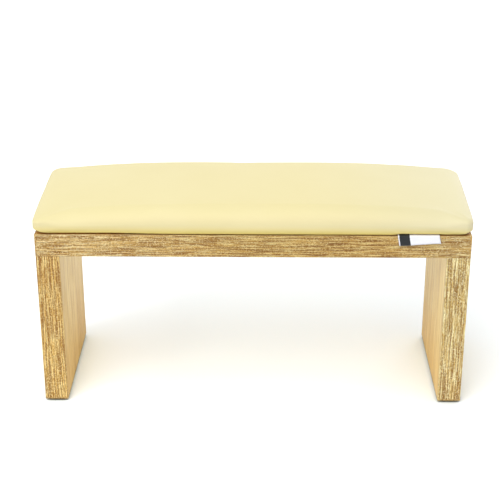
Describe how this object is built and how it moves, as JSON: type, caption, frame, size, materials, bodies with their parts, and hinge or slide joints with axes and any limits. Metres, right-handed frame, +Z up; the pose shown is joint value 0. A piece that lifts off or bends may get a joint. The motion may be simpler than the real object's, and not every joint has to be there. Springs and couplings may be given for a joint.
{
  "type": "wrist rest",
  "caption": "Bridge-shaped wrist rest for a manicure table: oak-effect board stand with a crowned, leatherette-covered foam pad on top.",
  "frame": {"origin": "middle of the rest's footprint, on the surface it stands on", "axes": "+Z up, +X along the rest's length, front (with the ribbon tag) towards -Y"},
  "size_m": [0.296, 0.104, 0.1463],
  "materials": {
    "oak_board": "matt oak-effect melamine face",
    "oak_edge_band": "embossed oak-effect edge band",
    "plywood": "raw birch plywood",
    "foam": "open-cell foam",
    "leatherette": "satin pale yellow leatherette with a fine grain",
    "ribbon": "white satin ribbon with a woven dark band",
    "felt": "pressed dark felt",
    "zinc_steel": "bright zinc plating",
    "staple_wire": "galvanised wire"
  },
  "bodies": {
    "root": {"top_board": "oak_board", "left_leg_board": "oak_board", "right_leg_board": "oak_board", "top_board_front_band": "oak_edge_band", "top_board_back_band": "oak_edge_band", "top_board_left_band": "oak_edge_band", "top_board_right_band": "oak_edge_band", "left_leg_front_band": "oak_edge_band", "left_leg_back_band": "oak_edge_band", "left_leg_bottom_band": "oak_edge_band", "right_leg_front_band": "oak_edge_band", "right_leg_back_band": "oak_edge_band", "right_leg_bottom_band": "oak_edge_band", "left_leg_screws": "zinc_steel", "right_leg_screws": "zinc_steel", "pad_screws": "zinc_steel", "cover_staples": "staple_wire", "left_felt_strip": "felt", "right_felt_strip": "felt", "pad_base": "plywood", "pad_foam": "foam", "pad_cover": "leatherette", "ribbon_tag": "ribbon"}
  },
  "joints": []
}
